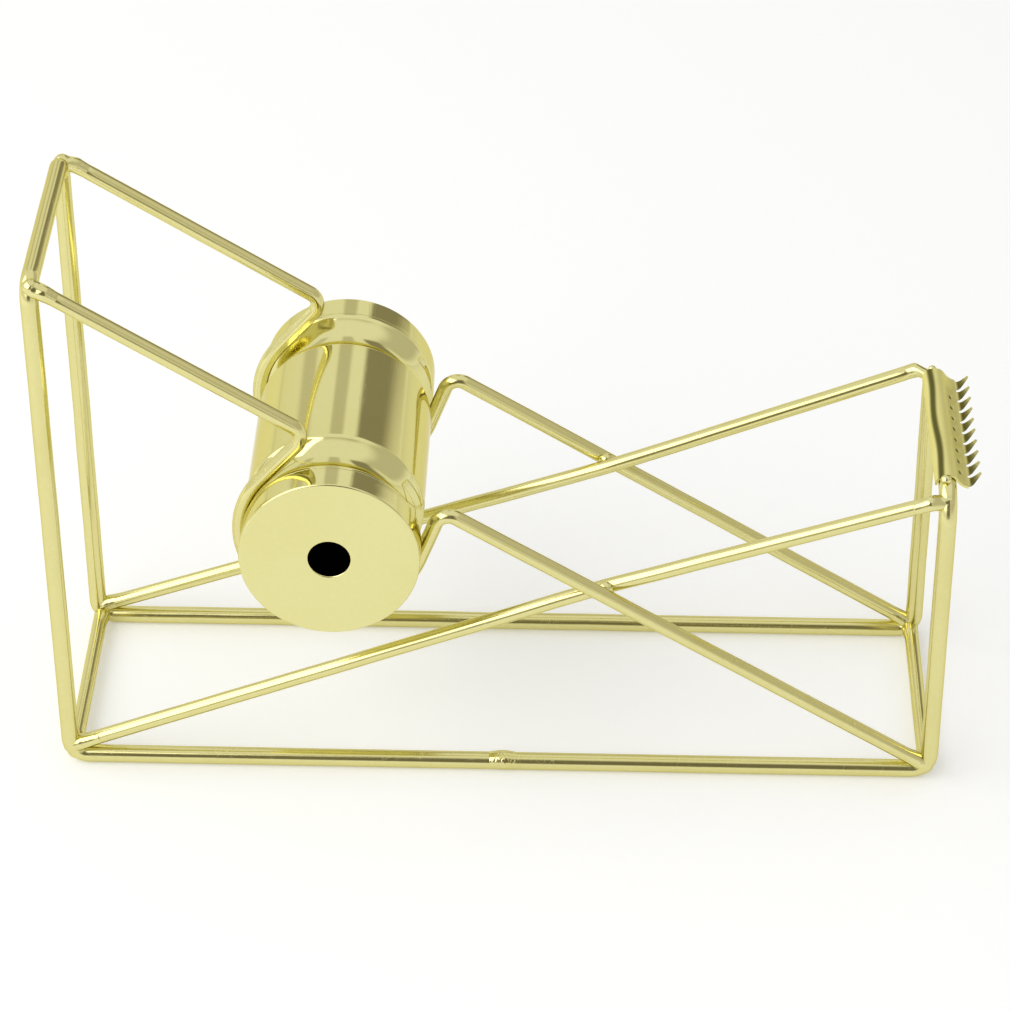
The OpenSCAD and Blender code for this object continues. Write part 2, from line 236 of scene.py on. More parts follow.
def makeWeldHaze():
    # the dulled plating round a weld, from the heat attribute that the pieces carry
    group, _, leave = newGroup(
        "weldHaze", [], [("Mask", "NodeSocketFloat"), ("Height", "NodeSocketFloat")])
    heat = addNode(group, "ShaderNodeAttribute", (-900, -300), attribute_name="heat").outputs["Fac"]
    where = addNode(group, "ShaderNodeTexCoord", (-900, 0)).outputs["Object"]
    cloud = noiseAt(group, where, (-600, 0), hazeSet["cloudScale"], 3.0)
    cloud = spread(group, cloud, (-300, 0), *hazeSet["cloudRange"])
    grit = noiseAt(group, where, (-600, 300), hazeSet["gritScale"])
    group.links.new(calc(group, "MULTIPLY", (0, -100), heat, cloud), leave.inputs["Mask"])
    group.links.new(calc(group, "MULTIPLY", (0, 200), heat, grit), leave.inputs["Height"])
    return group


platingTone = makePlatingTone()
lengthLines = makeLengthLines()
handlingMarks = makeHandlingMarks()
weldHaze = makeWeldHaze()

# bare is the colour of painted shade where light does not reach: inside the spool, in the cutter's dimples
# and roll, and a painted dark reflection on its teeth
finishSets = {
    "wire": {
        "base": (0.745, 0.692, 0.312), "deep": (0.698, 0.640, 0.258), "pale": (0.795, 0.750, 0.380),
        "burnt": (0.50, 0.42, 0.13), "rough": (0.15, 0.28), "stretch": (25.0, 2600.0, 2600.0),
        "lines": 0.12, "haze": 0.45, "bump": 0.09,
    },
    "spool": {
        "base": (0.765, 0.722, 0.335), "deep": (0.735, 0.688, 0.298), "pale": (0.800, 0.760, 0.390),
        "burnt": (0.66, 0.60, 0.25), "rough": (0.075, 0.17), "stretch": (3800.0, 40.0, 40.0),
        "lines": 0.12, "haze": 0.5, "bump": 0.05, "bare": (0.016, 0.013, 0.009),
    },
    "cutter": {
        "base": (0.850, 0.800, 0.345), "deep": (0.800, 0.745, 0.285), "pale": (0.880, 0.835, 0.410),
        "burnt": (0.15, 0.12, 0.02), "rough": (0.52, 0.60), "stretch": (2200.0, 60.0, 60.0),
        "lines": 0.25, "haze": 0.9, "bump": 0.15, "bare": (0.062, 0.054, 0.003),
    },
    "weld": {
        "base": (0.755, 0.705, 0.325), "deep": (0.670, 0.605, 0.225), "pale": (0.820, 0.780, 0.430),
        "burnt": (0.50, 0.42, 0.14), "rough": (0.11, 0.24), "stretch": (300.0, 900.0, 900.0),
        "lines": 0.3, "haze": 0.35, "bump": 0.45,
    },
}
edgeTint = (0.82, 0.76, 0.45)  # gold stays yellow where it is seen at a low angle
wearSet = {
    "lines": 0.5,  # how much a drawn line roughens, against a scratch
    "bare": 3.0,  # places with painted shade are as rough as their finish gets
    "markDepth": 0.3,  # of a scratch, against the drawn lines
    "bumpDepth": 0.05 * mm,
}


def makeFinish(name):
    look = finishSets[name]
    finish = bpy.data.materials.new(name + "Gold")
    finish.use_nodes = True
    tree = finish.node_tree
    shader = tree.nodes["Principled BSDF"]
    shader.inputs["Metallic"].default_value = 1.0
    shader.inputs["Specular Tint"].default_value = (*edgeTint, 1.0)
    tone, lines, marks, haze = [
        addNode(tree, "ShaderNodeGroup", (-900, high), node_tree=group)
        for group, high in ((platingTone, 300), (lengthLines, -100), (handlingMarks, -300), (weldHaze, -500))]
    for socket in ("Base", "Deep", "Pale"):
        tone.inputs[socket].default_value = (*look[socket.lower()], 1.0)
    lines.inputs["Stretch"].default_value = look["stretch"]
    hazeShare = calc(tree, "MULTIPLY", (-650, 0), haze.outputs["Mask"], look["haze"])
    colour = mixColour(tree, (-400, 300), hazeShare, tone.outputs["Color"], look["burnt"])
    worn = calc(tree, "MULTIPLY", (-750, -150), lines.outputs["Mask"], wearSet["lines"])
    worn = calc(tree, "MAXIMUM", (-650, -200), worn, marks.outputs["Mask"])
    worn = calc(tree, "MAXIMUM", (-500, -250), worn, hazeShare)
    # painted shade: the mask darkens the colour to the painted-shade colour and roughens it
    if "bare" in look:
        inside = addNode(tree, "ShaderNodeAttribute", (-650, 500), attribute_name="inside").outputs["Fac"]
        colour = mixColour(tree, (-200, 300), inside, colour, look["bare"])
        bare = calc(tree, "MULTIPLY", (-500, -50), inside, wearSet["bare"])
        worn = calc(tree, "ADD", (-420, -250), worn, bare)
    tree.links.new(colour, shader.inputs["Base Color"])
    tree.links.new(spread(tree, worn, (-350, -200), 0.0, 1.0, *look["rough"]), shader.inputs["Roughness"])
    height = calc(tree, "MULTIPLY", (-650, -450), lines.outputs["Height"], look["lines"])
    cut = calc(tree, "MULTIPLY", (-650, -600), marks.outputs["Mask"], wearSet["markDepth"])
    height = calc(tree, "SUBTRACT", (-500, -450), height, cut)
    height = calc(tree, "ADD", (-350, -450), height, haze.outputs["Height"])
    bump = addNode(tree, "ShaderNodeBump", (-180, -400))
    bump.inputs["Strength"].default_value = look["bump"]
    bump.inputs["Distance"].default_value = wearSet["bumpDepth"]
    tree.links.new(height, bump.inputs["Height"])
    tree.links.new(bump.outputs["Normal"], shader.inputs["Normal"])
    return finish


finishes = {name: makeFinish(name) for name in finishSets}
print("finishes made,", len(finishes))


# Surfaces: grids of points worked out as whole arrays

def unit(v):
    return v / np.linalg.norm(v, axis=-1, keepdims=True)


def smooth(x):
    # three times the square less twice the cube, level at 0 and at 1
    x = np.clip(x, 0, 1)
    return x ** 2 * (3 - 2 * x)


def polar(angle, r):
    # points at the distance r from the middle, in directions given in degrees
    angle = np.radians(angle)
    return r * np.stack([np.cos(angle), np.sin(angle)], -1)


def inSideView(p, y):
    return np.array([p[0], y, p[1]])


def field(*parts):
    # numbers over a surface as points, each part spread to the shape that they have together
    return np.stack(np.broadcast_arrays(*parts), -1)


def ring(sides):
    return np.linspace(0, 2 * np.pi, sides, endpoint=False)


def lengthAlong(path):
    return np.concatenate([[0], np.cumsum(np.linalg.norm(np.diff(path, axis=0), axis=1))])


def gridQuads(rows, cols, wrapRows=False, wrapCols=False):
    # the numbers of the four corners of every cell in a grid that is counted row by row
    i = np.arange(rows if wrapRows else rows - 1)[:, None]
    j = np.arange(cols if wrapCols else cols - 1)[None, :]
    below, beside = (i + 1) % rows, (j + 1) % cols
    corners = [i * cols + j, i * cols + beside, below * cols + beside, below * cols + j]
    return field(*corners).reshape(-1, 4)


def signedVolume(verts, faces):
    # a sixth of a . (b x c) over all triangles of the faces, below nought where they point inwards
    total = 0.0
    for group in faces:
        a = verts[group[:, 0]]
        for k in range(1, group.shape[1] - 1):
            total += np.einsum("ij,ij->", a, np.cross(verts[group[:, k]], verts[group[:, k + 1]])) / 6
    return total


def joined(parts):
    # several closed shells as one mesh
    verts, faces, extras, start = [], [], {}, 0
    for part in parts:
        verts.append(part["verts"])
        faces += [group + start for group in part["faces"]]
        start += len(part["verts"])
        for name in part["extras"]:
            extras.setdefault(name, []).append(part["extras"][name])
    return {"verts": np.concatenate(verts), "faces": faces,
            "extras": {name: np.concatenate(rows) for name, rows in extras.items()}}


weldSpots = []  # where the wires are joined; filled in before the wires are made
heatReach = 3.2 * mm  # how far the plating is dulled round a weld


def heatAt(verts):
    # a bell curve over the distance to the nearest weld
    gap = np.linalg.norm(verts[:, None] - np.array(weldSpots), axis=2).min(1)
    return np.exp(-(gap / heatReach) ** 2)


def addPiece(name, shell, body, nodes, look, sharpAngle=None):
    verts, faces = shell["verts"], shell["faces"]
    if signedVolume(verts, faces) < 0:
        faces = [group[:, ::-1] for group in faces]
    mesh = bpy.data.meshes.new(name)
    mesh.from_pydata(verts.tolist(), [], [face for group in faces for face in group.tolist()])
    mesh.polygons.foreach_set("use_smooth", np.ones(len(mesh.polygons), bool))
    if sharpAngle:
        mesh.set_sharp_from_angle(angle=np.radians(sharpAngle))
    for label, values in {"heat": heatAt(verts), **shell["extras"]}.items():
        kind, part = ("FLOAT_VECTOR", "vector") if values.ndim == 2 else ("FLOAT", "value")
        layer = mesh.attributes.new(label, kind, "POINT")
        layer.data.foreach_set(part, values.astype(np.float32).ravel())
    mesh.materials.append(finishes[look])
    piece = bpy.data.objects.new(name, mesh)
    bpy.context.scene.collection.objects.link(piece)
    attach(piece, body)
    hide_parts(*nodes)


def roundedPath(corners, bends, step):
    # straights between the corners, with an arc that touches both straights in place of each corner
    # the second result points to the middle of the bend, and fades to nothing on the straights
    points, pulls = [], []
    start = np.asarray(corners[0], float)
    bends = np.broadcast_to(bends, len(corners) - 2)

    def straight(a, b):
        count = max(2, int(np.linalg.norm(b - a) / step))
        points.append(a + (b - a) * np.linspace(0, 1, count, endpoint=False)[:, None])
        pulls.append(np.zeros((count, 3)))

    for before, corner, after, bend in zip(corners[:-2], corners[1:-1], corners[2:], bends):
        come, go = unit(np.subtract(corner, before)), unit(np.subtract(after, corner))
        half = np.arccos(np.clip(come @ go, -1, 1)) / 2
        inward, along = unit(go - come), unit(come + go)
        straight(start, corner - come * bend * np.tan(half))
        phi = np.linspace(-half, half, max(7, int(np.degrees(half) / 2)))[:-1, None]
        middle = corner + inward * bend / np.cos(half)
        points.append(middle + bend * (along * np.sin(phi) - inward * np.cos(phi)))
        pulls.append((inward * np.cos(phi) - along * np.sin(phi)) * (1 - (phi / half) ** 4))
        start = corner + go * bend * np.tan(half)
    straight(start, np.asarray(corners[-1], float))
    points.append(np.asarray(corners[-1], float)[None])
    pulls.append(np.zeros((1, 3)))
    return np.concatenate(points), np.concatenate(pulls)


def closedTube(verts, lay):
    # rings of points joined to a tube, with a fan on a middle point at each end
    rings, sides = verts.shape[:2]
    ends, layEnds = verts[[0, -1]].mean(1), lay[[0, -1]].mean(1)
    j = np.arange(sides)
    beside = (j + 1) % sides
    pole = np.full(sides, rings * sides)
    last = (rings - 1) * sides
    return {"verts": np.concatenate([verts.reshape(-1, 3), ends]),
            "faces": [gridQuads(rings, sides, wrapCols=True), np.stack([pole, beside, j], 1),
                      np.stack([pole + 1, last + j, last + beside], 1)],
            "extras": {"lay": np.concatenate([lay.reshape(-1, 3), layEnds])}}


def lumps(angle, run, seed, terms=5):
    # an uneven surface between about -1 and 1: waves of a few lengths round and along a bead
    draw = np.random.default_rng(seed)
    total = np.zeros(np.broadcast_shapes(angle.shape, run.shape))
    for k in range(1, terms + 1):
        turn, drift, phase = draw.integers(1, k + 2), draw.uniform(1, 3) * k, draw.uniform(0, 2 * np.pi)
        total = total + np.sin(turn * angle + drift * run + phase) / np.sqrt(k)
    return total / terms ** 0.75


# Frame wires

wireForm = {
    "loopRadius": 1.5 * mm,
    "loopSides": 44,
    "thinRadius": 1.25 * mm,
    "thinSides": 36,
    "loopBend": 3.0 * mm,
    "frontBend": 5.0 * mm,  # at the top corners of the front arch
    "kinkBend": 2.4 * mm,
    "flatten": 0.05,  # share of the radius that a bend squeezes out
    "waver": 0.018 * mm,
    "waves": (4.1, 1.9, 5.3, 2.3),  # long and short, both ways, in mm for a radian
    "shortWave": 0.6,  # a short wave's height against a long one's
    "sunkTaper": 0.35,  # how much thinner an end is that is sunk in a weld
    "taperOver": 3.0 * mm,
    "baseLength": 147.0 * mm,
    "baseWidth": 40.0 * mm,
    "railHeight": 1.52 * mm,
    "rearHeight": 95.5 * mm,
    "frontHeight": 57.8 * mm,
    "lean": 0.4,  # degrees
    "buttAt": 0.7 * mm,
    "buttGap": 0.1 * mm,  # between the wire's two ends, inside the weld
    "tieOut": 0.5 * mm,
    "braceLift": 1.7 * mm,
    "braceBend": 40.0 * mm,
    "crossGap": 0.25 * mm,
    "cradleWidth": 40.6 * mm,
    "cradleRadius": 15.195 * mm,
    "rearLift": 0.4 * mm,
    "frontLift": 0.7 * mm,
    "rearOver": 14.3 * mm,  # how far the straights pass over the spool's axis
    "frontOver": 13.4 * mm,
    "rearLeg": 139.0,  # where the legs leave the arc, in degrees
    "frontLeg": -20.7,
    "endShort": 0.75 * mm,
    "topShort": 2.6 * mm,  # at the top corners, where the weld goes on over the corner
    "step": 1.2 * mm,
}

spoolAxis = np.array(frame["joints"][0]["pos_m"])[[0, 2]]


def sweptTube(path, guide, radius, sides, seed, taper=0.0, pull=None):
    # a circle carried along the path, squeezed a little towards the middle of each bend
    # the path wavers by a few hundredths, as straightened wire does, and an end that is sunk in a weld tapers
    w = wireForm
    pull = np.zeros_like(path) if pull is None else pull
    along = unit(np.gradient(path, axis=0))
    first = unit(guide - np.sum(guide * along, 1, keepdims=True) * along)
    second = np.cross(along, first)
    length = lengthAlong(path)
    fade = np.sin(np.pi * length / length[-1])[:, None]
    phase = np.random.default_rng(seed).uniform(0, 2 * np.pi, 4)
    wave = np.sin(length[:, None] / mm / np.array(w["waves"]) + phase)
    sway = first * (wave[:, [0]] + w["shortWave"] * wave[:, [1]])
    sway = sway + second * (wave[:, [2]] + w["shortWave"] * wave[:, [3]])
    angle = ring(sides)
    spoke = np.cos(angle)[None, :, None] * first[:, None] + np.sin(angle)[None, :, None] * second[:, None]
    toEnd = np.clip(np.minimum(length, length[-1] - length) / w["taperOver"], 0, 1)
    squeeze = 1 - w["flatten"] * np.einsum("ijk,ik->ij", spoke, pull) ** 2
    squeeze = squeeze * (1 - taper * (1 - toEnd) ** 2)[:, None]
    verts = (path + w["waver"] * fade * sway)[:, None] + radius * squeeze[:, :, None] * spoke
    return closedTube(verts, field(length[:, None], radius * np.cos(angle), radius * np.sin(angle)))


def linesMeet(a, r, b, s):
    # where two lines meet that touch circles of radius r and s at the angles a and b
    a, b = np.radians(a), np.radians(b)
    return np.array([r * np.sin(b) - s * np.sin(a), s * np.cos(a) - r * np.cos(b)]) / np.sin(b - a)


def bearing(v):
    return np.degrees(np.arctan2(v[1], v[0]))


def wirePoints():
    # the corners and aim points of every wire, in the side view as (x, z)
    w = wireForm
    p = {"postX": w["baseLength"] / 2, "railY": w["baseWidth"] / 2, "railZ": w["railHeight"]}
    slope = np.tan(np.radians(w["lean"]))
    p["rearTop"] = np.array([-p["postX"] - (w["rearHeight"] - p["railZ"]) * slope, w["rearHeight"]])
    p["frontTop"] = np.array([p["postX"] - (w["frontHeight"] - p["railZ"]) * slope, w["frontHeight"]])
    p["rearAim"] = p["rearTop"] + [0, w["rearLift"]]
    p["frontAim"] = np.array([p["postX"], p["railZ"] + w["frontLift"]])
    toRear, toFront = spoolAxis - p["rearAim"], spoolAxis - p["frontAim"]
    rearWay = bearing(toRear) + np.degrees(np.arcsin(w["rearOver"] / np.linalg.norm(toRear)))
    frontWay = bearing(toFront) - np.degrees(np.arcsin(w["frontOver"] / np.linalg.norm(toFront)))
    p["rearWay"], p["frontWay"] = polar(rearWay, 1), polar(frontWay, 1)
    p["rearKink"] = spoolAxis + linesMeet(rearWay + 90, w["rearOver"], w["rearLeg"], w["cradleRadius"])
    p["frontKink"] = spoolAxis + linesMeet(frontWay - 90, w["frontOver"], w["frontLeg"], w["cradleRadius"])
    p["cradleY"] = w["cradleWidth"] / 2
    p["braceRear"] = np.array([-p["postX"], p["railZ"] + w["braceLift"]])
    p["braceWay"] = unit(p["frontTop"] - p["braceRear"])
    share = np.linalg.solve(np.stack([p["braceWay"], -p["frontWay"]], 1), p["frontAim"] - p["braceRear"])
    p["cross"] = p["braceRear"] + share[0] * p["braceWay"]
    p["braceY"] = p["cradleY"] - 2 * w["thinRadius"] - w["crossGap"]
    reach = (w["loopBend"] + w["tieOut"]) / np.sqrt(2)
    p["tieX"] = p["postX"] - w["loopBend"] + reach
    p["tieZ"] = p["railZ"] + w["loopBend"] - reach
    return p


at = wirePoints()
for way in (-1, 1):
    weldSpots += [inSideView(spot, way * y) for spot, y in (
        (at["rearAim"], at["cradleY"]), (at["frontAim"], at["cradleY"]), (at["braceRear"], at["railY"]),
        (at["frontTop"], at["railY"]), (at["cross"], at["cradleY"] - wireForm["thinRadius"]))]
    weldSpots += [np.array([end * at["tieX"], way * at["railY"], at["tieZ"]]) for end in (-1, 1)]
weldSpots.append(np.array([wireForm["buttAt"], -at["railY"], at["railZ"]]))


def makeLoop():
    # one wire from the butt weld round both arches and back: a tube on straights and arcs
    w = wireForm
    x, y, z = at["postX"], at["railY"], at["railZ"]
    butts = [np.array([w["buttAt"] + way * w["buttGap"] / 2, -y, z]) for way in (-1, 1)]
    corners = [butts[0], np.array([-x, -y, z]), inSideView(at["rearTop"], -y), inSideView(at["rearTop"], y),
               np.array([-x, y, z]), np.array([x, y, z]), inSideView(at["frontTop"], y),
               inSideView(at["frontTop"], -y), np.array([x, -y, z]), butts[1]]
    bends = [w["loopBend"]] * 5 + [w["frontBend"]] * 2 + [w["loopBend"]]
    path, pull = roundedPath(corners, bends, w["step"])
    middle = np.array([0, 0, w["rearHeight"] / 2])
    shell = sweptTube(path, middle - path, w["loopRadius"], w["loopSides"], seed=1, pull=pull)
    addPiece("outerLoop", shell, "frame", ["frame_loop"], "wire")
    return path


def cradlePath(y):
    # a straight to the rear kink, a leg that touches the arc under the spool, the arc, a leg and a straight
    w = wireForm
    rearTouch = spoolAxis + polar(w["rearLeg"], w["cradleRadius"])
    frontTouch = spoolAxis + polar(w["frontLeg"], w["cradleRadius"])
    rear = [at["rearAim"] + w["topShort"] * at["rearWay"], at["rearKink"], rearTouch]
    front = [frontTouch, at["frontKink"], at["frontAim"] + w["endShort"] * at["frontWay"]]
    rearPath, rearPull = roundedPath([inSideView(p, y) for p in rear], w["kinkBend"], w["step"])
    frontPath, frontPull = roundedPath([inSideView(p, y) for p in front], w["kinkBend"], w["step"])
    turn = np.linspace(w["rearLeg"], 360 + w["frontLeg"], 90)[1:-1]
    arc = spoolAxis + polar(turn, w["cradleRadius"])
    arc = field(arc[:, 0], y, arc[:, 1])
    return (np.concatenate([rearPath, arc, frontPath]),
            np.concatenate([rearPull, np.zeros_like(arc), frontPull]))


def makeThinWires():
    # a tube on each cradle's path, on each brace with its slight bend at the crossing, and on each tie
    w = wireForm

    def addThin(name, node, path, guide, seed, pull=None):
        shell = sweptTube(path, np.array(guide), w["thinRadius"], w["thinSides"], seed, w["sunkTaper"], pull)
        addPiece(name, shell, "frame", [node], "wire")

    for side, way, seed in (("near", -1, 3), ("far", 1, 4)):
        path, pull = cradlePath(way * at["cradleY"])
        addThin(side + "Cradle", side + "_cradle_wire", path, (0.0, 1.0, 0.0), seed, pull)
        rearEnd = at["braceRear"] + w["endShort"] * at["braceWay"]
        frontEnd = at["frontTop"] - w["topShort"] * at["braceWay"]
        corners = [inSideView(rearEnd, way * at["railY"]), inSideView(at["cross"], way * at["braceY"]),
                   inSideView(frontEnd, way * at["railY"])]
        path = roundedPath(corners, w["braceBend"], w["step"])[0]
        addThin(side + "Brace", side + "_brace_wire", path, (0.0, 1.0, 0.0), seed + 2)
    for name, end, seed in (("rear", -1, 7), ("front", 1, 8)):
        reach = at["railY"] - w["endShort"]
        ends = [np.array([end * at["tieX"], way * reach, at["tieZ"]]) for way in (-1, 1)]
        path = ends[0] + (ends[1] - ends[0]) * np.linspace(0, 1, 34)[:, None]
        addThin(name + "Tie", name + "_base_tie", path, (0.0, 0.0, 1.0), seed)


loopPath = makeLoop()
makeThinWires()
print("wires made")


# Welds: a ball on each joint that narrows to the wire, and an uneven bead at the other joints

weldForm = {
    "reach": 5.4 * mm,
    "unevenness": 0.03,
    # for each kind of joint: the ball's radius, its share of the way from the thin wire's axis to the loop's,
    # and over what length of the wire it gets there
    "seat": {"rearTop": (1.46 * mm, 0.42, 2.4 * mm), "frontBottom": (1.52 * mm, 0.7, 4.6 * mm),
             "rearBottom": (1.52 * mm, 0.7, 4.6 * mm), "frontTop": (1.38 * mm, 0.95, 2.6 * mm),
             "tie": (1.50 * mm, 0.7, 4.6 * mm)},
    "search": (-0.5, 3.0),  # where along the thin wire the joint may lie, in mm
    "sink": 0.06 * mm,  # the thin edge of the metal ends just under the wire's skin
    "ballTip": 0.06,  # angle from a pole to the first ring, for a ball and for a bead
    "beadTip": 0.02,
    "buttLength": 5.6 * mm,
    "buttHeight": 0.16 * mm,
    "buttRough": ((0.05, 4, 11, 91), (0.04, 7, 17, 92)),  # height in mm, waves round and along, seed
    "tableGap": 0.01 * mm,
    "crossRadii": (1.35 * mm, 1.15 * mm, 1.25 * mm),
    "crossLift": 0.55 * mm,
}


def jointAt(aim, way):
    # the point of a wire's axis that lies nearest to the loop's axis, and the way from there to the loop's
    axis = aim + np.linspace(*weldForm["search"], 141)[:, None] * mm * way
    gaps = np.linalg.norm(axis[:, None] - loopPath[None], axis=2)
    best, nearest = np.unravel_index(gaps.argmin(), gaps.shape)
    return axis[best], loopPath[nearest] - axis[best]


def fairing(aim, way, joint, seed, sides=44):
    # half a ball on the joint, then a radius that falls smoothly from the ball's to the wire's;
    # the middle of the rings slides from near the loop's axis to the wire's own
    f = weldForm
    way = unit(np.asarray(way, float))
    ball, lean, leanOver = f["seat"][joint]
    origin, toLoop = jointAt(aim, way)
    guide = np.array([0.0, 0.0, 1.0])
    first = unit(guide - (guide @ way) * way)
    second = np.cross(way, first)
    back = -ball * np.cos(np.linspace(f["ballTip"], np.pi / 2, 14))
    run = np.concatenate([back, np.linspace(0, f["reach"], 30)[1:]])[:, None]
    angle = ring(sides)[None, :]
    fall = smooth(run / f["reach"])
    radius = np.where(run < 0, np.sqrt(np.maximum(ball ** 2 - run ** 2, 0)),
                      ball + (wireForm["thinRadius"] - f["sink"] - ball) * fall)
    radius = radius * (1 + f["unevenness"] * (1 - fall) * lumps(angle, run / mm, seed))
    middle = origin + run * way + lean * (1 - smooth(run / leanOver)) * toLoop
    spoke = np.cos(angle)[:, :, None] * first + np.sin(angle)[:, :, None] * second
    verts = middle[:, None] + radius[:, :, None] * spoke
    return closedTube(verts, field(run, radius * np.cos(angle), radius * np.sin(angle)))


def blob(centre, radii, seed, rows=30, sides=44):
    # an uneven ball: rings from pole to pole, each radius pushed in and out by the lumps
    run = np.linspace(weldForm["beadTip"], np.pi - weldForm["beadTip"], rows)[:, None]
    angle = ring(sides)[None, :]
    size = 1 + 3 * weldForm["unevenness"] * np.sin(run) * lumps(angle, run, seed)
    ball = field(np.sin(run) * np.cos(angle), np.sin(run) * np.sin(angle), np.cos(run))
    verts = centre + ball * size[:, :, None] * np.asarray(radii)
    return closedTube(verts, verts.copy())


def buttWeld():
    # a low hump round the rail, raised by its own height, so that it stays over the table
    f = weldForm
    run = np.linspace(-1, 1, 72)[:, None]
    angle = ring(64)[None, :]
    hump = (1 - run ** 2) ** 1.5
    rough = sum(high * lumps(turns * angle, waves * run, seed) for high, turns, waves, seed in f["buttRough"])
    radius = wireForm["loopRadius"] - f["sink"] + hump * (f["sink"] + f["buttHeight"] + rough * mm)
    height = at["railZ"] + hump * f["buttHeight"] + radius * np.sin(angle)
    verts = field(wireForm["buttAt"] + run * f["buttLength"] / 2, -at["railY"] + radius * np.cos(angle),
                  np.maximum(height, f["tableGap"]))
    return closedTube(verts, verts - verts.mean((0, 1)))


def makeWelds():
    f = weldForm
    joints = (
        ("rearTop", "rear_top_welds", at["rearAim"], at["rearWay"], at["cradleY"]),
        ("frontBottom", "front_bottom_welds", at["frontAim"], at["frontWay"], at["cradleY"]),
        ("rearBottom", "rear_bottom_welds", at["braceRear"], at["braceWay"], at["railY"]),
        ("frontTop", "front_top_welds", at["frontTop"], -at["braceWay"], at["railY"]),
    )
    for index, (name, node, spot, way, y) in enumerate(joints):
        shells = [fairing(inSideView(spot, side * y), inSideView(way, 0), name, 20 + 4 * index + side)
                  for side in (-1, 1)]
        addPiece(name + "Welds", joined(shells), "frame", [node], "weld")
    for name, end, seed in (("rear", -1, 60), ("front", 1, 64)):
        shells = [fairing(np.array([end * at["tieX"], side * at["railY"], at["tieZ"]]), (0, -side, 0), "tie",
                          seed + side) for side in (-1, 1)]
        addPiece(name + "TieWelds", joined(shells), "frame", [name + "_tie_welds"], "weld")
    crossY = (at["cradleY"] + at["braceY"]) / 2
    shells = [blob(inSideView(at["cross"] + [0, f["crossLift"]], side * crossY), f["crossRadii"], 80 + side)
              for side in (-1, 1)]
    addPiece("crossingWelds", joined(shells), "frame", ["crossing_welds"], "weld")
    addPiece("loopButtWeld", buttWeld(), "frame", ["loop_butt_weld"], "weld")


makeWelds()
print("welds made")


# Cutter: one bent sheet, an upper and a lower grid of points with walls between them

cutterForm = {
    "teeth": 10,
    "pitch": 3.2 * mm,
    "toothLength": 2.1 * mm,
    "toothWidth": 2.6 * mm,
    "toothHollow": 1.4,  # above 1 the flanks of a tooth are hollow
    "toothLeast": 0.02,  # share of its length that the sheet still has between two teeth
    "tipWidth": 0.15 * mm,
    "toothRise": 49.0,  # degrees, as are the next angles
    "toothCurl": 0.18 * mm,  # how far a tip curls up from the straight
    "bendRadius": 0.6 * mm,
    "sheet": 0.4 * mm,
    "seat": 0.05 * mm,
    "lap": 95.0,  # how far the sheet is rolled round the bar behind its crest
    "looseRoll": 0.12 * mm,  # how far the roll stands off the bar at its end
    "looseFrom": 95.0,
    "looseOver": 75.0,
    "plateDrop": 59.5,
    "plateTail": 15.0,
    "plateRadius": 2.95 * mm,
    "dimples": 8,
    "dimpleDrop": 42.0,
    "dimpleWidth": 1.3 * mm,
    "dimpleLong": 0.75,  # length down the plate against the width
    "dimpleDepth": 0.2 * mm,
    "dimpleBelow": 0.8,  # share of the depth that shows below
    "edgeRound": 0.06 * mm,
    # how dark the painted shade and reflection get at most
    "darkest": 0.9,
    "crease": 120.0,  # where shade is painted along the roll
    "creaseWidth": 17.0,
    "creaseSway": 5.0,
    "creaseWave": 3.1 * mm,
    "tipPale": 0.75,
    "spotRadii": (0.95 * mm, 0.85 * mm, 0.85 * mm),
    "spotBack": 15.0,
    "spotOut": 0.7 * mm,
    "spotFar": 0.72,  # size of the far bead against the near one
    "spotHeat": 1.2 * mm,
}


def cutterColumns():
    # y of every column: the corners of each tooth, with a few columns between them
    c = cutterForm
    valley = (c["pitch"] - c["toothWidth"]) / 2
    slope = (c["toothWidth"] - c["tipWidth"]) / 2
    knots = np.cumsum([0, valley, slope, c["tipWidth"], slope, valley])
    fine = np.concatenate([np.linspace(a, b, n, endpoint=False)
                           for a, b, n in zip(knots[:-1], knots[1:], (4, 8, 2, 8, 4))])
    along = (np.arange(c["teeth"])[:, None] * c["pitch"] + fine[None]).ravel()
    y = np.append(along, c["teeth"] * c["pitch"])
    inTooth = np.abs((y % c["pitch"]) - c["pitch"] / 2)
    reach = np.clip((c["toothWidth"] / 2 - inTooth) / slope, 0, 1) ** c["toothHollow"]
    return y - c["teeth"] * c["pitch"] / 2, np.maximum(reach, c["toothLeast"])


def nearEdge(distance):
    # how deep an edge is rounded off: a quarter circle that starts at the edge
    share = np.clip(1 - distance / cutterForm["edgeRound"], 0, 1)
    return cutterForm["edgeRound"] * (1 - np.sqrt(1 - share ** 2))


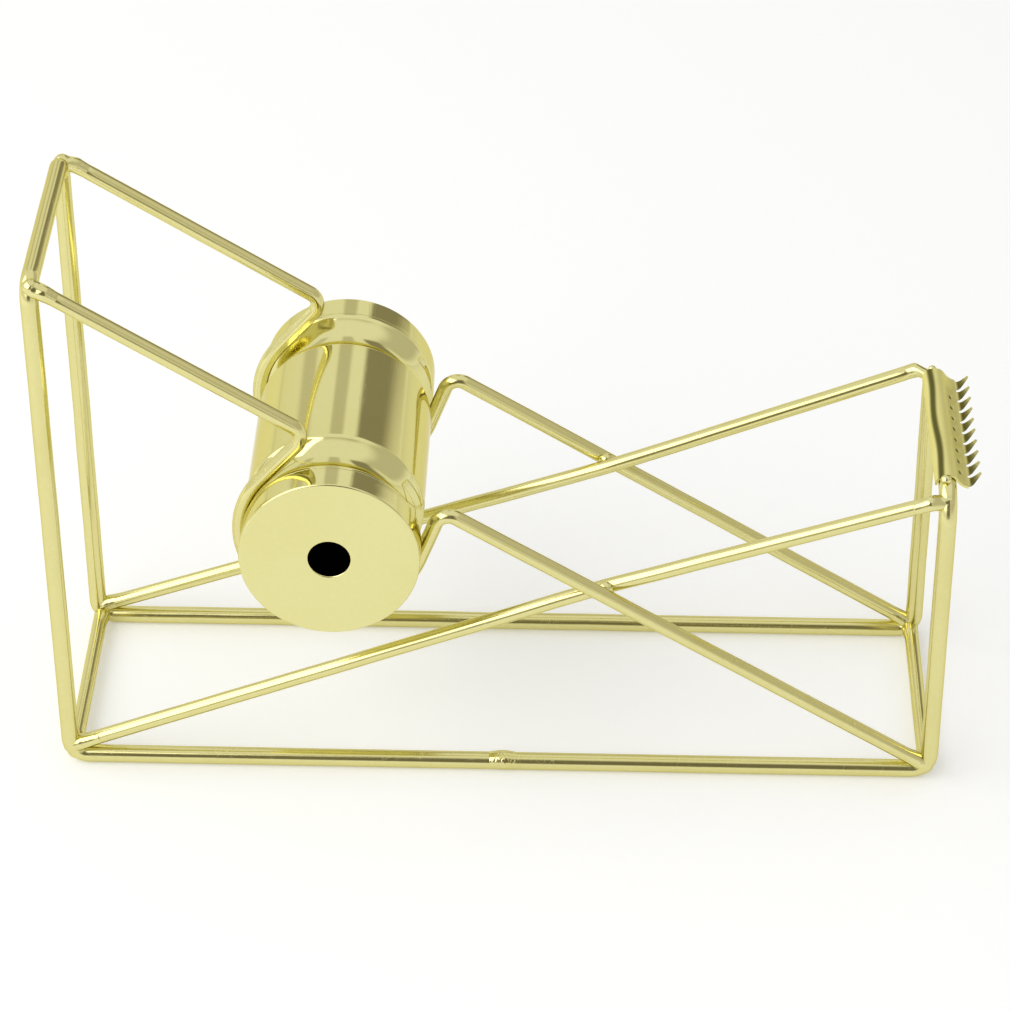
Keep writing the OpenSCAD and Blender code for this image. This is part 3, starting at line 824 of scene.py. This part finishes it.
def makeCutter():
    # the section runs over the bar and down the hollow plate, then round the bend and out along the teeth;
    # from the bend on, each column is only as long as the tooth is there
    c = cutterForm
    bar, drop, tail, rise = at["frontTop"], c["plateDrop"], c["plateTail"], c["toothRise"]
    crest = wireForm["loopRadius"] + c["seat"] + c["sheet"]
    y, reach = cutterColumns()
    plateMiddle = bar + polar(90 - drop, crest + c["plateRadius"])
    bendMiddle = plateMiddle - polar(90 - tail, c["plateRadius"] - c["bendRadius"])
    lap = np.linspace(90 + c["lap"], 90 - drop, 40)
    loose = crest + c["looseRoll"] * smooth((lap - c["looseFrom"]) / c["looseOver"])
    plate = np.linspace(-90 - drop, -90 - tail, 31)[1:]
    bendLength = c["bendRadius"] * np.radians(tail + rise)
    whole = bendLength + c["toothLength"]
    share = np.linspace(0, 1, 29)[1:, None]
    past = share * reach * whole
    turn = -90 - tail + np.degrees(np.minimum(past, bendLength) / c["bendRadius"])
    out = (np.maximum(past - bendLength, 0) / c["toothLength"])[:, :, None]
    free = bendMiddle + polar(turn, c["bendRadius"])
    free = free + out * polar(rise, c["toothLength"]) + out ** 2 * polar(rise + 90, c["toothCurl"])

    def across(rows):
        return np.repeat(rows[:, None], y.size, axis=1)

    flat = np.concatenate([across(bar + polar(lap, loose[:, None])),
                           across(plateMiddle + polar(plate, c["plateRadius"])), free])
    normals = np.concatenate([across(polar(lap, 1)), across(-polar(plate, 1)), -polar(turn, 1)])
    lapRun = crest * np.radians(lap[0] - lap)
    plateRun = lapRun[-1] + c["plateRadius"] * np.radians(plate + 90 + drop)
    run = np.concatenate([across(lapRun), across(plateRun), plateRun[-1] + past])

    dimpleRun = lapRun[-1] + c["plateRadius"] * np.radians(drop - c["dimpleDrop"])
    dimpleY = (np.arange(1, c["dimples"] + 1) - c["teeth"] / 2) * c["pitch"]
    away = np.min((y[None, :, None] - dimpleY) ** 2, -1) + ((run - dimpleRun) / c["dimpleLong"]) ** 2
    dent = c["dimpleDepth"] * np.clip(1 - away / (c["dimpleWidth"] / 2) ** 2, 0, 1) ** 1.5

    toEdge = np.concatenate([across(lapRun), across(plateRun), (1 - share) * reach * whole])
    tuck = nearEdge(toEdge)
    upper = flat - (dent + tuck)[:, :, None] * normals
    lower = flat - (c["sheet"] + c["dimpleBelow"] * dent - tuck)[:, :, None] * normals
    verts = np.concatenate([field(side[:, :, 0], y, side[:, :, 1]).reshape(-1, 3) for side in (upper, lower)])

    rows, cols = run.shape
    half = rows * cols
    index = np.arange(half).reshape(rows, cols)
    quads = gridQuads(rows, cols)
    walls = [index[0, ::-1], index[-1], index[:, 0], index[::-1, -1]]
    faces = [quads, quads[:, ::-1] + half]
    faces += [np.stack([line[:-1], line[1:], line[1:] + half, line[:-1] + half], 1) for line in walls]
    lay = field(y, run, 0 * run).reshape(-1, 3)
    heat = np.exp(-((np.abs(verts[:, 1]) - y[-1]) / c["spotHeat"]) ** 2)
    heat *= np.exp(-((verts[:, 0] - bar[0] - c["spotHeat"]) / c["spotHeat"]) ** 2)

    # painted shade along the roll and in the dimples, and a painted dark reflection on the teeth that fades
    # towards their tips
    dark = np.clip(1.5 * dent / c["dimpleDepth"] - 0.1, 0, 1)
    sway = c["crease"] + c["creaseSway"] * np.sin(y / c["creaseWave"] + 1) - lap[:, None]
    dark[:lap.size] = np.maximum(dark[:lap.size], np.exp(-(sway / c["creaseWidth"]) ** 4))
    toTip = np.clip(past / whole / 0.85, 0, 1)
    dark[-share.size:] = np.clip(past / bendLength / 0.6 - 0.2, 0, 1) * (1 - c["tipPale"] * toTip ** 3)
    extras = {"lay": np.tile(lay, (2, 1)), "heat": heat, "inside": c["darkest"] * np.tile(dark.ravel(), 2)}
    shell = {"verts": verts, "faces": faces, "extras": extras}
    addPiece("cutterBlade", shell, "frame", ["cutter_blade"], "cutter", sharpAngle=40)
    makeSpots(bar, y[-1])


def makeSpots(bar, end):
    # a bead on the bar just past each end of the sheet
    c = cutterForm
    top = bar + polar(90 + c["spotBack"], wireForm["loopRadius"])
    spots = []
    for side, size in ((-1, 1.0), (1, c["spotFar"])):
        centre = inSideView(top, side * (end + size * c["spotOut"]))
        spots.append(blob(centre, size * np.array(c["spotRadii"]), 100 + side))
    addPiece("cutterSpotWelds", joined(spots), "frame", ["blade_welds"], "weld")


makeCutter()
print("cutter made")


# Spool: closed profiles turned round the axis

spoolForm = {
    "radius": 14.8 * mm,
    "halfLength": 28.3 * mm,
    "wall": 1.0 * mm,
    "grooveDepth": 2.0 * mm,
    "grooveWidth": 9.6 * mm,
    "grooveIn": 2.05 * mm,  # the groove's middle lies this far inside the cradle wire
    "shoulder": 1.0 * mm,
    "capLand": 0.4 * mm,
    "capGap": 0.05 * mm,
    "capRound": 0.32 * mm,
    "seamRound": 0.05 * mm,
    "edgeRound": 0.1 * mm,  # at the edges inside
    "recessRound": 0.2 * mm,
    "holeRadius": 3.45 * mm,
    "holeLip": 0.5 * mm,
    "lipWall": 0.6 * mm,
    "lipRound": 0.25 * mm,
    "rubWidth": 0.9 * mm,  # where the cradle wires have rubbed the grooves
    "rubHaze": 0.4,
    "darkFrom": 0.3 * mm,  # how deep in the hole the painted shade starts
}


def turned(profile, sides=160):
    # a closed profile of (radius, y) turned once round the spool's axis
    angle = ring(sides)
    r, y = profile[:, :1], profile[:, 1:]
    verts = field(spoolAxis[0] + r * np.sin(angle), y, spoolAxis[1] + r * np.cos(angle))
    lay = field(lengthAlong(profile)[:, None], r * np.cos(angle), r * np.sin(angle))
    return {"verts": verts.reshape(-1, 3), "sides": sides, "extras": {"lay": lay.reshape(-1, 3)},
            "faces": [gridQuads(len(profile), sides, wrapRows=True, wrapCols=True)]}


def softProfile(points, bend, step=0.8 * mm):
    # a closed outline with every corner rounded by its own radius, or left as it is where that is nought
    flat = [np.array([r, y, 0.0]) for r, y in points]
    rounded = []
    for k, radius in enumerate(bend):
        if radius == 0:
            rounded.append(flat[k][None, :2])
            continue
        before, corner, after = flat[k - 1], flat[k], flat[(k + 1) % len(flat)]
        start, end = (before + corner) / 2, (corner + after) / 2
        rounded.append(roundedPath([start, corner, end], radius, step)[0][:-1, :2])
    return np.concatenate(rounded)


def grooveOutline(middle):
    # radius over y: a circle in the middle and a smaller one over each shoulder, which it touches
    f = spoolForm
    half, shoulder, depth = f["grooveWidth"] / 2, f["shoulder"], f["grooveDepth"]
    arc = (half ** 2 + depth ** 2) / (2 * depth) - shoulder
    y = half * np.sin(np.linspace(-np.pi / 2, np.pi / 2, 72))
    hollow = f["radius"] - depth + arc - np.sqrt(np.maximum(arc ** 2 - y ** 2, 0))
    crown = f["radius"] - shoulder + np.sqrt(np.maximum(shoulder ** 2 - (half - np.abs(y)) ** 2, 0))
    radius = np.where(np.abs(y) < half * arc / (arc + shoulder), hollow, crown)
    return list(zip(radius, middle + y))


def makeSpool():
    # the tube's outline runs along its bore and back over both grooves, a cap's round its rim, face and hole
    f = spoolForm
    r, wall, grooveY = f["radius"], f["wall"], at["cradleY"] - f["grooveIn"]
    seam = grooveY + f["grooveWidth"] / 2 + f["capLand"]
    spigot = f["halfLength"] - wall - f["capGap"]
    inner = r - wall - f["capGap"]
    bore = r - f["grooveDepth"] - wall
    near, far = grooveOutline(-grooveY), grooveOutline(grooveY)
    crisp, edge = f["seamRound"], f["edgeRound"]
    outline = [(bore, spigot), (bore, -spigot), (inner, -spigot), (inner, -seam), (r, -seam)]
    outline += near + far + [(r, seam), (inner, seam), (inner, spigot)]
    bends = [edge] * 4 + [crisp] + [0] * (len(near) + len(far)) + [crisp] + [edge] * 2
    profile = softProfile(outline, bends)
    shell = turned(profile)
    rub = np.exp(-((np.abs(shell["verts"][:, 1]) - at["cradleY"]) / f["rubWidth"]) ** 4)
    shell["extras"]["heat"] = f["rubHaze"] * rub
    # painted shade over the inside of the tube
    hollow = (profile[:, 0] < bore + 0.4 * wall).astype(float)
    shell["extras"]["inside"] = np.repeat(hollow, shell["sides"])
    addPiece("spoolBarrel", shell, "spool", ["spool_barrel"], "spool", sharpAngle=50)

    hole, end = f["holeRadius"], f["halfLength"]
    lip, lipEnd, start = hole + f["lipWall"], end - wall - f["holeLip"], seam + f["capGap"]
    cap = [(r, start), (r, end), (hole, end), (hole, lipEnd), (lip, lipEnd), (lip, end - wall),
           (r - wall, end - wall), (r - wall, start)]
    bends = [crisp, f["capRound"], f["lipRound"], edge, edge, f["recessRound"], f["recessRound"], edge]
    profile = softProfile(cap, bends)
    # painted shade that deepens down the hole
    deep = np.clip((end - profile[:, 1] - f["darkFrom"]) / f["darkFrom"], 0, 1) * (profile[:, 0] < inner)
    for name, way in (("near", -1), ("far", 1)):
        shell = turned(profile * [1, way])
        shell["extras"]["inside"] = np.repeat(deep, shell["sides"])
        shell["extras"]["heat"] = np.zeros(len(shell["verts"]))
        addPiece(name + "SpoolCap", shell, "spool", [name + "_spool_cap"], "spool", sharpAngle=50)


makeSpool()
print("spool made")


# Stage: a pale floor, a soft panel of light on the left, and a room that the metal mirrors

stageSet = {
    "floorSize": 6.0,
    "floorDrop": 0.02 * mm,
    "floorColour": (0.90, 0.90, 0.89),
    "floorRough": 0.9,
    "floorGlow": 0.22,  # only for what the camera and the metal see
    "roomLight": 0.62,
    "panelPlace": (-0.80, -0.42, 0.80),
    "panelSize": (1.70, 0.96),
    "panelPower": 8.2,
    "panelAim": (0, 0, 40 * mm),
    "wallLevel": 0.92,
    "warmth": (1.0, 0.90, 0.70),
    # darker stretches of the room: the share of light that each takes,
    # then where it starts, is full, starts to fade and ends, in x, y and z
    "darker": (
        (0.80, (-0.44, -0.16, 0.22, 0.48), (-3.0, -2.0, -0.62, -0.30), (-0.28, 0.20, 0.70, 0.98)),
        (0.34, (0.30, 0.62, 2.0, 3.0), (-0.92, -0.72, 0.60, 0.80), (0.02, 0.20, 0.60, 0.85)),
        (0.68, (0.20, 0.27, 0.47, 0.60), (0.55, 0.70, 2.0, 3.0), (-0.02, 0.06, 0.60, 0.75)),
        (0.32, (-0.13, -0.08, 0.03, 0.09), (0.55, 0.70, 2.0, 3.0), (0.20, 0.35, 0.70, 0.85)),
        (0.28, (-0.50, -0.45, -0.38, -0.33), (0.55, 0.70, 2.0, 3.0), (0.15, 0.30, 0.70, 0.85)),
    ),
}


def makeFloor():
    s = stageSet
    half = s["floorSize"] / 2
    mesh = bpy.data.meshes.new("floor")
    corners = [(-half, -half), (half, -half), (half, half), (-half, half)]
    mesh.from_pydata([(x, y, -s["floorDrop"]) for x, y in corners], [], [(0, 1, 2, 3)])
    paper = bpy.data.materials.new("floorPaper")
    paper.use_nodes = True
    tree = paper.node_tree
    shader = tree.nodes["Principled BSDF"]
    shader.inputs["Base Color"].default_value = (*s["floorColour"], 1)
    shader.inputs["Roughness"].default_value = s["floorRough"]
    shader.inputs["Specular IOR Level"].default_value = 0.1
    shader.inputs["Emission Color"].default_value = (1, 1, 1, 1)
    path = addNode(tree, "ShaderNodeLightPath", (-700, 0)).outputs
    seen = calc(tree, "MAXIMUM", (-450, 0), path["Is Camera Ray"], path["Is Glossy Ray"])
    glow = calc(tree, "MULTIPLY", (-250, 0), seen, s["floorGlow"])
    tree.links.new(glow, shader.inputs["Emission Strength"])
    mesh.materials.append(paper)
    floor = bpy.data.objects.new("floor", mesh)
    bpy.context.scene.collection.objects.link(floor)


def makePanel():
    light = bpy.data.lights.new("softPanel", "AREA")
    light.shape = "RECTANGLE"
    light.size, light.size_y = stageSet["panelSize"]
    light.energy = stageSet["panelPower"]
    panel = bpy.data.objects.new("softPanel", light)
    bpy.context.scene.collection.objects.link(panel)
    place = np.array(stageSet["panelPlace"])
    back = unit(place - np.array(stageSet["panelAim"]))
    side = unit(np.cross([0.0, 0.0, 1.0], back))
    turn = np.eye(4)
    turn[:3, :] = np.column_stack([side, np.cross(back, side), back, place])
    panel.matrix_world = Matrix(turn.tolist())


def makeRoom():
    # what the metal mirrors: pale walls with a few darker stretches; other light comes evenly from all round
    world = bpy.data.worlds.new("studioRoom")
    world.use_nodes = True
    bpy.context.scene.world = world
    tree = world.node_tree
    back = tree.nodes["Background"]
    where = addNode(tree, "ShaderNodeTexCoord", (-2300, 0)).outputs["Generated"]
    axes = addNode(tree, "ShaderNodeSeparateXYZ", (-2100, 0))
    tree.links.new(where, axes.inputs["Vector"])
    clear = None
    for index, (dark, *windows) in enumerate(stageSet["darker"]):
        low = -700 * index
        for axis, (start, full, last, end) in zip(axes.outputs, windows):
            rise = spread(tree, axis, (-1900, low), start, full)
            fall = spread(tree, axis, (-1700, low), last, end, 1.0, 0.0)
            within = calc(tree, "MULTIPLY", (-1500, low), rise, fall)
            dark = calc(tree, "MULTIPLY", (-1300, low), dark, within)
            low -= 200
        left = calc(tree, "SUBTRACT", (-1100, low), 1.0, dark)
        clear = left if clear is None else calc(tree, "MULTIPLY", (-900, low), clear, left)
    path = addNode(tree, "ShaderNodeLightPath", (-1100, 500)).outputs
    glossy = calc(tree, "MAXIMUM", (-900, 500), path["Is Glossy Ray"], path["Is Transmission Ray"])
    direct = calc(tree, "MAXIMUM", (-700, 600), glossy, path["Is Camera Ray"])
    even = calc(tree, "SUBTRACT", (-600, 600), 1.0, direct)
    even = calc(tree, "MULTIPLY", (-500, 600), even, stageSet["roomLight"])
    mirrored = calc(tree, "MULTIPLY", (-700, 200), clear, stageSet["wallLevel"])
    mirrored = calc(tree, "MULTIPLY", (-500, 200), mirrored, glossy)
    strength = calc(tree, "ADD", (-400, 500), even, mirrored)
    strength = calc(tree, "ADD", (-300, 400), strength, path["Is Camera Ray"])
    tree.links.new(strength, back.inputs["Strength"])
    shade = calc(tree, "SUBTRACT", (-700, 50), 1.0, clear)
    shade = calc(tree, "MULTIPLY", (-500, 0), shade, glossy)
    tree.links.new(mixColour(tree, (-300, 0), shade, (1, 1, 1), stageSet["warmth"]), back.inputs["Color"])


makeFloor()
makePanel()
makeRoom()
bpy.context.scene.view_settings.view_transform = "Standard"
print("stage set")
